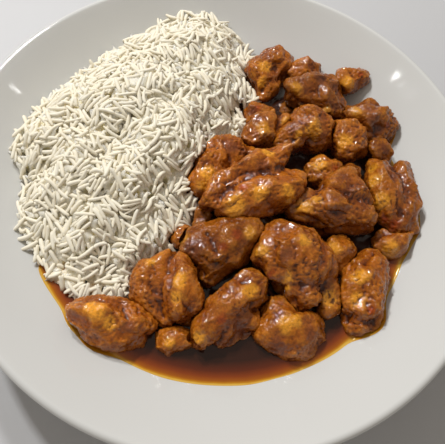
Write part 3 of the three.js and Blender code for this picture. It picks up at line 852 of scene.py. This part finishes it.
def sauce_at(x, y, wall):
    """How high the sauce stands there, and how thick a film a leaning chunk draws out."""
    near = chicken_gap((x, y, SAUCE_LEVEL), NEAR)
    climb = CLIMB * math.exp(-near / CLIMB_REACH) if near is not None else 0
    film = 0.0
    if wall > SAUCE_LEVEL - SHALLOW:
        foot = chicken_gap((x, y, wall + FILM_FROM), NEAR_FOOT)
        film = FILM * math.exp(-foot) if foot is not None else 0.0
    return max(SAUCE_LEVEL + climb, wall + WET_WALL + film), film


def sauce_top():
    """The top, ring by ring and its middle last, and how deep the sauce looks at each point."""
    top, depth = [], []
    for share in sauce_rings[1:]:
        for k, edge in enumerate(sauce_edges):
            angle, r = 2 * math.pi * k / SAUCE_TURNS, share * edge
            x, y, wall = r * math.cos(angle), r * math.sin(angle), inside_height(r)
            z, film = sauce_at(x, y, wall)
            top.append((x, y, z))
            depth.append(max(SAUCE_LEVEL - wall, FILM_DEEPER * film))
    top.append((0, 0, SAUCE_LEVEL))
    depth.append(SAUCE_LEVEL - FLOOR_HEIGHT)
    return np.array(top), np.array(depth)


top, sauce_depth = sauce_top()
tell("top of the sauce:", len(top), "points")

# %% [markdown]
# The underside is the same net laid on the wall, a hair's breadth over it, and the two are joined
# round the edge. A closed form is what the real sauce is, and it looks right from every side.

# %% Body of the sauce
UNDER_OVER_WALL, THINNEST = 0.02, 0.01


def closed_rings(top, under, turns):
    """A top and an underside, both ring by ring with the middle last, as one closed form."""
    count = len(top)
    last = count - 1 - turns
    faces = []
    for k in range(turns):
        n = (k + 1) % turns
        for a in range(0, last, turns):
            b = a + turns
            faces.append((a + k, b + k, b + n, a + n))
            faces.append((count + a + n, count + b + n, count + b + k, count + a + k))
        faces.append((count - 1, k, n))
        faces.append((2 * count - 1, count + n, count + k))
        faces.append((last + k, count + last + k, count + last + n, last + n))
    return np.vstack([top, under]), faces


under = top.copy()
wall = inside_height(np.hypot(top[:, 0], top[:, 1]))
under[:, 2] = np.minimum(wall + UNDER_OVER_WALL, top[:, 2] - THINNEST)
sauce_points, sauce_faces = closed_rings(top, under, SAUCE_TURNS)
tell("sauce:", len(sauce_faces), "faces")

# %% [markdown]
# The sauce is thin and clear, so its colour is a matter of depth: yellow amber where it feathers out
# on the white wall, orange half a millimetre deep, red-brown at two and nearly black at five. A
# glassy form over the wall would need many bounces of light, so the colour comes from a ramp over
# the depth that is painted on the mesh, under a smooth wet surface.

# %% Sauce finish
RAMP_DEPTH = 8
SAUCE_BY_DEPTH = [
    (0.00, (0.66, 0.40, 0.06)), (0.035, (0.52, 0.21, 0.006)), (0.09, (0.34, 0.090, 0.004)),
    (0.21, (0.225, 0.042, 0.005)), (0.36, (0.105, 0.019, 0.005)), (0.6, (0.034, 0.010, 0.005))]

broth = Finish("sauce")
deep = broth.painted("depth") + 0.5 * broth.grain(9, detail=2) - 0.25
sauce_colour = broth.node(
    "ShaderNodeValToRGB", {"stops": SAUCE_BY_DEPTH}, {"Fac": deep * (1 / RAMP_DEPTH)})
ripple = broth.bump(broth.grain(6, detail=2), 0.05)
sauce_material = broth.shade(
    Base_Color=sauce_colour, Roughness=0.07, Normal=ripple, IOR=1.38, Coat_Weight=0.3,
    Coat_Roughness=0.03)
sauce_mesh = smooth_mesh("sauce_pool", sauce_points, sauce_faces)
paint(sauce_mesh, "depth", np.hstack([sauce_depth, sauce_depth]))
sauce_nodes = sorted(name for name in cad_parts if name.startswith("sauce_"))
piece(sauce_mesh, sauce_material, "sauce", *sauce_nodes)
tell("sauce stands for", len(sauce_nodes), "solids")

# %% [markdown]
# ## Rice
# A heap of rice is a few thousand grains lying on each other. Scattering them at random would push
# them through each other, so they are dropped one by one on a height map: each new grain goes where
# the heap is still lowest, turns at random, tips until it rests on the two highest spots under it,
# and then its own back is added to the map. Only the outer layers need real grains, so the map
# starts a little under the heap's surface. That surface is the solid's own, with hills, humps and
# pits as a scooped heap has them.

# %% How high the heap is
STARTS_UNDER = 3.2
MAP_STEP, MAP_EDGE = 0.5, 10
EDGE_CELLS = 5
HILL_SIZE, HILL_HEIGHT, HILLS_DOWN = 17, 3.2, 0.8
HUMP_SIZE, HUMP_HEIGHT = 8, 1.6
PIT_SIZE, PIT_DEPTH, PIT_RARE = 5, 7, 0.3
OVER_WALL = 0.3
HEAP_OVER_SAUCE = 1.4
EDGE_OVER_WALL, EDGE_OVER_SAUCE = 2.0, 1.0


def swell(x, y, size, layer):
    return noise.noise(Vector((x / size, y / size, layer)))


def hills_at(x, y):
    """How far the heap stands over its solid or, below 0, under it."""
    pit = PIT_DEPTH * max(0, swell(x, y, PIT_SIZE, layer=2) - PIT_RARE)
    hill = HILL_HEIGHT * swell(x, y, HILL_SIZE, layer=4)
    hump = HUMP_HEIGHT * swell(x, y, HUMP_SIZE, layer=9)
    return hill - HILLS_DOWN + hump - pit


rice_low, rice_high = [np.array(corner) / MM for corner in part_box("rice_heap")]
xs = np.arange(rice_low[0] - MAP_EDGE, rice_high[0] + MAP_EDGE, MAP_STEP)
ys = np.arange(rice_low[1] - MAP_EDGE, rice_high[1] + MAP_EDGE, MAP_STEP)
wall_map = inside_height(np.hypot(xs[:, None], ys[None, :]))
chicken_map = heights(chicken_tree, xs, ys)
target_map = heights(rice_tree, xs, ys)
heap = target_map > wall_map + OVER_WALL
wide = heap.copy()
for _ in range(EDGE_CELLS):
    wide[1:-1, 1:-1] |= wide[:-2, 1:-1] | wide[2:, 1:-1] | wide[1:-1, :-2] | wide[1:-1, 2:]
hills = np.array([[hills_at(x, y) for y in ys] for x in xs])
heap_top = np.maximum(target_map + hills, SAUCE_LEVEL + HEAP_OVER_SAUCE)
edge_top = np.maximum(wall_map + EDGE_OVER_WALL, SAUCE_LEVEL + EDGE_OVER_SAUCE)
target_map = np.where(heap, heap_top, np.where(wide, edge_top, NOTHING))
tell("maps:", target_map.shape, "cells")

# %% [markdown]
# A dropped grain is taken as a stick with nine spots along it and three across. It lies on the two
# spots, one on either side of its middle, that hold it highest, and then settles a share of the way
# into what is under it, because real grains are soft and nest. The map rises to its round back.

# %% Resting a grain
SPOTS = np.linspace(-0.46, 0.46, 9)
SIDES = np.array([-0.3, 0.0, 0.3])
BACK = 0.45
PATCH_CELLS = 11
pile = np.where(target_map > NOTHING, np.maximum(target_map - STARTS_UNDER, wall_map), wall_map)
reach = np.arange(-PATCH_CELLS, PATCH_CELLS + 1)
patch_i, patch_j = np.meshgrid(reach, reach, indexing="ij")


def cells_of(x, y):
    i = np.clip(np.rint((x - xs[0]) / MAP_STEP).astype(int), 0, len(xs) - 1)
    j = np.clip(np.rint((y - ys[0]) / MAP_STEP).astype(int), 0, len(ys) - 1)
    return i, j


def rest_on(spots, tops):
    """Height and slope of a stick that lies on those tops, over its own middle."""
    left, right = spots <= 0, spots >= 0
    rise = tops[right][None, :] - tops[left][:, None]
    run = spots[right][None, :] - spots[left][:, None]
    slope = rise / np.maximum(run, TINY)
    height = tops[left][:, None] - slope * spots[left][:, None]
    height = np.where(run > 0, height, tops[left].max())
    best = np.unravel_index(height.argmax(), height.shape)
    return height[best], slope[best] if run[best] > 0 else 0.0


def add_to_pile(x, y, z, along, across, slope, length, width):
    """Raises the map to the back of a grain."""
    i, j = cells_of(x, y)
    near_i, near_j = np.clip(i + patch_i, 0, len(xs) - 1), np.clip(j + patch_j, 0, len(ys) - 1)
    dx, dy = xs[near_i] - x, ys[near_j] - y
    s, t = dx * along[0] + dy * along[1], dx * across[0] + dy * across[1]
    round_off = 1 - (s / (0.5 * length)) ** 2 - (t / (0.5 * width)) ** 2
    back = z + slope * s + BACK * width * np.sqrt(np.maximum(round_off, 0))
    covered = round_off > 0
    cells = near_i[covered], near_j[covered]
    pile[cells] = np.maximum(pile[cells], back[covered])


tell("pile from", round(pile.min(), 1), "to", round(pile.max(), 1), "mm high")

# %% [markdown]
# A grain tries four places and takes the one that lacks most. It is refused where chicken is in its
# way, or where it would stand too proud of the heap or of the heap's highest point.

# %% Dropping one grain
GRAIN_LENGTH = (7.0, 10.6)
GRAIN_WIDTH = (1.8, 2.25)
BROKEN_LENGTH = (3.4, 5.6)
SINK = 0.2
STEEPEST = 1.0
HIGHEST = rice_high[2] + 0.9   # so that the heap stays within the size of its solid
CHICKEN_CLEAR = 2
TRIED_CELLS, JITTER = 4, 0.2
ROOM_ENOUGH, ENDS_FREE = 1.0, 2
DROP_SEED = 31
rice_random = np.random.default_rng(DROP_SEED)
room = (target_map > wall_map + ROOM_ENOUGH) & (chicken_map < target_map - ROOM_ENOUGH)
heap_cells = np.argwhere(room)
tell("cells that can take a grain:", len(heap_cells))


def drop_grain(length, width, settles, proud):
    """One grain on the pile, or None where it doesn't fit."""
    tries = heap_cells[rice_random.integers(len(heap_cells), size=TRIED_CELLS)]
    i, j = tries[int(np.argmax([target_map[i, j] - pile[i, j] for i, j in tries]))]
    x = xs[i] + rice_random.uniform(-JITTER, JITTER)
    y = ys[j] + rice_random.uniform(-JITTER, JITTER)
    yaw = rice_random.uniform(0, math.pi)
    along = np.array([math.cos(yaw), math.sin(yaw)])
    across = np.array([-math.sin(yaw), math.cos(yaw)])
    spots = SPOTS * length
    cells = cells_of(x + np.add.outer(spots * along[0], SIDES * width * across[0]),
                     y + np.add.outer(spots * along[1], SIDES * width * across[1]))
    blocked = chicken_map[cells].max(1) > target_map[i, j] - CHICKEN_CLEAR
    if blocked[ENDS_FREE:-ENDS_FREE].any():
        return None
    under = pile[cells]
    z, slope = rest_on(spots, under.max(1))
    slope = float(np.clip(slope, -STEEPEST, STEEPEST))
    z += 0.5 * width * SINK + settles * (under.mean() - z)
    tip = z + abs(slope) * 0.5 * length + 0.5 * width
    if z > target_map[i, j] + proud or tip > HIGHEST:
        return None
    add_to_pile(x, y, z, along, across, slope, length, width)
    return x, y, z, yaw, math.atan(slope), length, width


# %% [markdown]
# The first grains have to lie low and close, and will stick together. The later ones may lie looser
# and prouder, and most of those show. A few broken grains fill in between. Dropping goes on until
# enough grains lie there or the tries are used up, as a full heap refuses more and more.

# %% Dropping them all
STUCK = {"settles": 0.3, "proud": 0.7}
LOOSE = {"settles": 0.5, "proud": 2.0}


def drop_many(lengths, how, tries, most):
    dropped = []
    for _ in range(tries):
        length, width = rice_random.uniform(*lengths), rice_random.uniform(*GRAIN_WIDTH)
        grain = drop_grain(length, width, **how)
        if grain is not None:
            dropped.append(grain)
        if len(dropped) == most:
            break
    return dropped


stuck = drop_many(GRAIN_LENGTH, STUCK, tries=9000, most=3000)
stuck += drop_many(BROKEN_LENGTH, STUCK, tries=1500, most=400)
stuck_pile = pile.copy()
loose = drop_many(GRAIN_LENGTH, LOOSE, tries=11000, most=1600)
broken = drop_many(BROKEN_LENGTH, LOOSE, tries=1500, most=120)
tell("grains:", len(stuck), "stuck,", len(loose), "loose,", len(broken), "broken")

# %% [markdown]
# Cooked rice sticks together: between the grains that show one sees more grains, packed to a mass.
# So a closed core fills the heap under them. Its top is the lowest height of the stuck grains near
# each place, slightly blurred and half a millimetre lower, so that it closes the heap and hides no
# grain.

# %% Core of the heap
STANDS_OUT = 0.5
BLUR_ROUNDS = 2
LOWEST_WITHIN = 2
CORE_OVER_WALL = 0.05


def shifted(field):
    return [np.roll(field, step, axis) for axis in (0, 1) for step in (1, -1)]


def blurred(field, rounds):
    for _ in range(rounds):
        field = (field + sum(shifted(field))) / 5
    return field


def lowest_near(field, cells):
    """The lowest value of the map within that many cells of each cell."""
    for _ in range(cells):
        field = np.minimum.reduce([field, *shifted(field)])
    return field


def filled(cells, top, bottom):
    """A closed form over those cells of the map, between two heights."""
    count = int(cells.sum())
    number = np.full(cells.shape, -1)
    number[cells] = np.arange(count)
    i, j = np.nonzero(cells)
    points = np.vstack([np.stack([xs[i], ys[j], field[cells]], -1) for field in (top, bottom)])
    quads = np.stack([number[:-1, :-1], number[1:, :-1], number[1:, 1:], number[:-1, 1:]], -1)
    quads = quads[(quads >= 0).all(-1)].tolist()
    faces = [tuple(quad) for quad in quads]
    faces += [tuple(count + k for k in reversed(quad)) for quad in quads]
    sides = {(quad[k - 1], quad[k]) for quad in quads for k in range(4)}
    faces += [(b, a, count + a, count + b) for a, b in sides if (b, a) not in sides]
    return points, faces


core_map = blurred(lowest_near(stuck_pile, LOWEST_WITHIN), BLUR_ROUNDS) - STANDS_OUT
core_cells = (target_map > NOTHING) & (core_map > wall_map + OVER_WALL)
core_points, core_faces = filled(core_cells, core_map, wall_map + CORE_OVER_WALL)
tell("core:", len(core_faces), "faces")

# %% [markdown]
# A grain of cooked long rice is a slim rod with blunt ends. Its net is seven rings of eight points
# and two tips, which is few enough for thousands of them and still smooth.

# %% Net of a grain
GRAIN_SIDES = 8
GRAIN_RINGS = np.array([-0.98, -0.88, -0.5, 0.0, 0.5, 0.88, 0.98])
GRAIN_BLUNT = 6.5


def grain_net():
    """A grain along the first axis, from -1 to 1, and one across."""
    girth = (1 - np.abs(GRAIN_RINGS) ** GRAIN_BLUNT) ** 0.5
    angle = 2 * np.pi * np.arange(GRAIN_SIDES) / GRAIN_SIDES
    ring = [(s, g * math.cos(a), g * math.sin(a)) for s, g in zip(GRAIN_RINGS, girth) for a in angle]
    net = np.array(ring + [(-1, 0, 0), (1, 0, 0)])
    end = (len(GRAIN_RINGS) - 1) * GRAIN_SIDES
    faces = []
    for k in range(GRAIN_SIDES):
        n = (k + 1) % GRAIN_SIDES
        for a in range(0, end, GRAIN_SIDES):
            b = a + GRAIN_SIDES
            faces.append((a + k, a + n, b + n, b + k))
        faces.append((len(ring), n, k))
        faces.append((len(ring) + 1, end + k, end + n))
    return net, faces


tell("grain:", len(grain_net()[0]), "points")

# %% [markdown]
# Real grains are a little flat, often a little bent, and thicker at one end. All grains of a kind are
# one mesh: the same net is stretched, bent, rolled, tipped and turned for each of them with arrays.

# %% Laying the grains
FLATNESS, FLATNESS_VARIES = 0.76, (0.9, 1.1)
BEND, TAPER, ROLL = 0.7, 0.10, 0.5


def turn(points, first, second, angle):
    """Turns points from one axis towards another."""
    a, b = points[:, first].copy(), points[:, second].copy()
    points[:, first] = a * math.cos(angle) - b * math.sin(angle)
    points[:, second] = a * math.sin(angle) + b * math.cos(angle)


def grain_shell(grains, seed):
    """All points and faces of some grains."""
    random = np.random.default_rng(seed)
    net, faces = grain_net()
    all_points, all_faces = [], []
    for x, y, z, yaw, tip, length, width in grains:
        bend = random.normal(0, BEND)
        flat = FLATNESS * random.uniform(*FLATNESS_VARIES)
        points = net * np.array([length / 2, width / 2, width / 2 * flat])
        points[:, 1] += bend * (1 - net[:, 0] ** 2) - bend / 2
        points[:, 1:] *= 1 + TAPER * random.normal() * net[:, :1]
        turn(points, 1, 2, random.uniform(-ROLL, ROLL))
        turn(points, 0, 2, tip)
        turn(points, 0, 1, yaw)
        start = len(all_points) * len(net)
        all_points.append(points + (x, y, z))
        all_faces.extend(tuple(start + k for k in face) for face in faces)
    return np.vstack(all_points), all_faces


loose_shell, broken_shell = grain_shell(loose, seed=7), grain_shell(broken, seed=5)
tell("loose grains:", len(loose_shell[1]), "faces, broken ones:", len(broken_shell[1]))

# %% [markdown]
# Two numbers are painted on the rice for its finish: how much sauce has drawn into it, by the pool
# and beside the chicken, and how far it lies in a hollow, under the level that the pile's map has
# after a strong blur.

# %% Soaked rice and hollows
SOAK_HEIGHT = 3
SOAK_BESIDE, SOAK_REACH = 0.45, 1.6
LEVEL_ROUNDS = 40
HOLLOW_DEPTH = 3
level_map = blurred(stuck_pile, LEVEL_ROUNDS)


def soaked(points):
    by_pool = np.clip(1 - (points[:, 2] - SAUCE_LEVEL) / SOAK_HEIGHT, 0, 1)
    gaps = [chicken_gap(point, NEAR) for point in points]
    by_chicken = [0 if gap is None else SOAK_BESIDE * math.exp(-gap / SOAK_REACH) for gap in gaps]
    return np.maximum(by_pool, by_chicken)


def rice_piece(name, material, points, faces, *nodes):
    mesh = smooth_mesh(name, points, faces)
    level = level_map[cells_of(points[:, 0], points[:, 1])]
    paint(mesh, "soak", soaked(points))
    paint(mesh, "hollow", np.clip((level - points[:, 2]) / HOLLOW_DEPTH, 0, 1))
    piece(mesh, material, "rice", *nodes)
    tell(name + ":", sum(len(face) - 2 for face in faces), "triangles")


# %% [markdown]
# Cooked rice is not paper white: light goes into it and comes out warm, so it is cream and milkier in
# places. The hollows between the grains are painted brighter and yellower: a painted glow for the
# light that gathers there. The imported mass is translucent and really lets light through.
# The loose grains cross each other a little, and light inside them would draw dark lines where they
# do, so they only have the colours. Rice by the sauce has drunk some of it. The surface is moist,
# with a soft sheen.

# %% Rice finish
CREAM, MILK, PAINTED_GAP_GLOW = (0.86, 0.795, 0.635), (0.885, 0.84, 0.71), (0.97, 0.87, 0.62)
SOAKED_BROWN = (0.40, 0.17, 0.045)


def rice_finish(name, glow, reach):
    """Cooked rice: the share of the light that enters it, and how many millimetres it travels."""
    rice = Finish(name)
    milky = rice.grain(4).between(0.35, 0.65)
    stain = rice.painted("soak") * rice.grain(5).between(0.2, 0.7)
    white = milky.mix(CREAM, MILK)
    # painted glow: the hollows between grains are painted brighter and yellower, for light that gathers
    # there
    white = (rice.painted("hollow").between(0.05, 0.6) * 0.95).mix(white, PAINTED_GAP_GLOW)
    return rice.shade(
        Base_Color=stain.mix(white, SOAKED_BROWN), Roughness=0.45 + 0.16 * rice.grain(1.5),
        Normal=rice.bump(rice.grain(0.8, detail=2), 0.06), IOR=1.33, Subsurface_Weight=glow,
        Subsurface_Radius=(1.0, 1.0, 0.95), Subsurface_Scale=reach * MM)


mass_material = rice_finish("rice_mass", glow=1.0, reach=4.0)
grain_material = rice_finish("rice_grain", glow=0.0, reach=1.0)
tell("rice finishes:", mass_material.name, grain_material.name)

# %% [markdown]
# The stuck grains and the core become one skin by a voxel remesh. As separate forms they would have
# walls inside the mass, which show as dark lines once light passes through it. The remesh uses
# larger faces where the skin is flat. The loose grains stay as they are, on top.

# %% The heap
STUCK_VOXEL, STUCK_ADAPTIVITY, STUCK_ROUNDS = 0.62, 0.65, 1
stuck_points, stuck_faces = grain_shell(stuck, seed=3)
start = len(stuck_points)
stuck_faces += [tuple(start + k for k in face) for face in core_faces]
rough_heap = smooth_mesh("rough_heap", np.vstack([stuck_points, core_points]), stuck_faces)
heap_points, heap_edges, heap_faces = even_net(rough_heap, STUCK_VOXEL, STUCK_ADAPTIVITY)
heap_points = relaxed(heap_points, heap_edges, STUCK_ROUNDS)
rice_piece("rice_stuck", mass_material, heap_points, heap_faces, "rice_heap")
rice_piece("rice_loose", grain_material, *loose_shell)
rice_piece("rice_broken", grain_material, *broken_shell)

# %% [markdown]
# ## Floor and light
# The dish stands on a plain, pale, matt floor. It is one large square, and is declared as the stage,
# so that it isn't taken for a piece of the dish.

# %% Floor
FLOOR_SIZE = 3000
FLOOR_COOLER, FLOOR_PALER = (0.52, 0.525, 0.54), (0.54, 0.545, 0.56)

matt = Finish("pale_floor")
floor_material = matt.shade(Base_Color=matt.grain(400).mix(FLOOR_COOLER, FLOOR_PALER), Roughness=0.55)
corners = [(-1, -1, 0), (1, -1, 0), (1, 1, 0), (-1, 1, 0)]
floor_mesh = smooth_mesh("floor", np.array(corners) * FLOOR_SIZE / 2, [(0, 1, 2, 3)])
floor_mesh.materials.append(floor_material)
floor = bpy.data.objects.new("floor", floor_mesh)
bpy.context.scene.collection.objects.link(floor)
floor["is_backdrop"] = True
tell("floor:", FLOOR_SIZE, "mm wide")

# %% [markdown]
# The photo's light comes from behind the dish and from the left. Two lamps a decimetre wide, high up
# and more than a metre away, give its short soft shadows and leave the near right wall bright and
# the far left wall dim. The other lamps are tiny and weak, and are there for their mirror images: the
# small bright spots in the glaze. A warm, pale surround fills the shadows.

# %% Lights
LAMP_DISTANCE = 1200
LAMP_AIM = Vector((0, 0, 20))
LAMP_WHITE = (1.0, 0.995, 0.985)
SURROUND_COLOUR, SURROUND_STRENGTH = (1.0, 0.91, 0.80, 1), 0.35
# Direction and height in degrees, size in millimetres, watts.
LAMPS = {
    "back_lamp": (120, 49, 105, 6.1), "left_lamp": (139, 54, 90, 6.8),
    "glint_lamp_1": (-178.7, 53.3, 11, 0.06), "glint_lamp_2": (-174.8, 54.6, 11, 0.06),
    "glint_lamp_3": (-171.2, 56.2, 11, 0.06), "far_lamp": (23, 46, 10, 0.008)}


def lamp(name, azimuth, elevation, size, watts):
    """A square lamp that far round from +X and that high, in degrees, turned to the bowl."""
    around, up = math.radians(azimuth), math.radians(elevation)
    towards = Vector((math.cos(around) * math.cos(up), math.sin(around) * math.cos(up), math.sin(up)))
    data = bpy.data.lights.new(name, "AREA")
    data.size = size * MM
    data.energy = watts
    data.color = LAMP_WHITE
    light = bpy.data.objects.new(name, data)
    light.location = (LAMP_AIM + LAMP_DISTANCE * towards) * MM
    light.rotation_mode = "QUATERNION"
    light.rotation_quaternion = towards.to_track_quat("Z", "Y")
    bpy.context.scene.collection.objects.link(light)


for name, numbers in LAMPS.items():
    lamp(name, *numbers)
surround = bpy.data.worlds.new("surround")
surround.use_nodes = True
background = surround.node_tree.nodes["Background"]
background.inputs["Color"].default_value = SURROUND_COLOUR
background.inputs["Strength"].default_value = SURROUND_STRENGTH
bpy.context.scene.world = surround
bpy.context.scene.view_settings.view_transform = "Standard"
tell("lamps:", len(LAMPS))

# %% [markdown]
# ## Size
# Both boxes are printed: that of the solids at the start, and that of the dressed dish here.

# %% Size and finish
new_low, new_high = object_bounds()
tell("box", [round(x / MM, 1) for x in (new_high - new_low)])
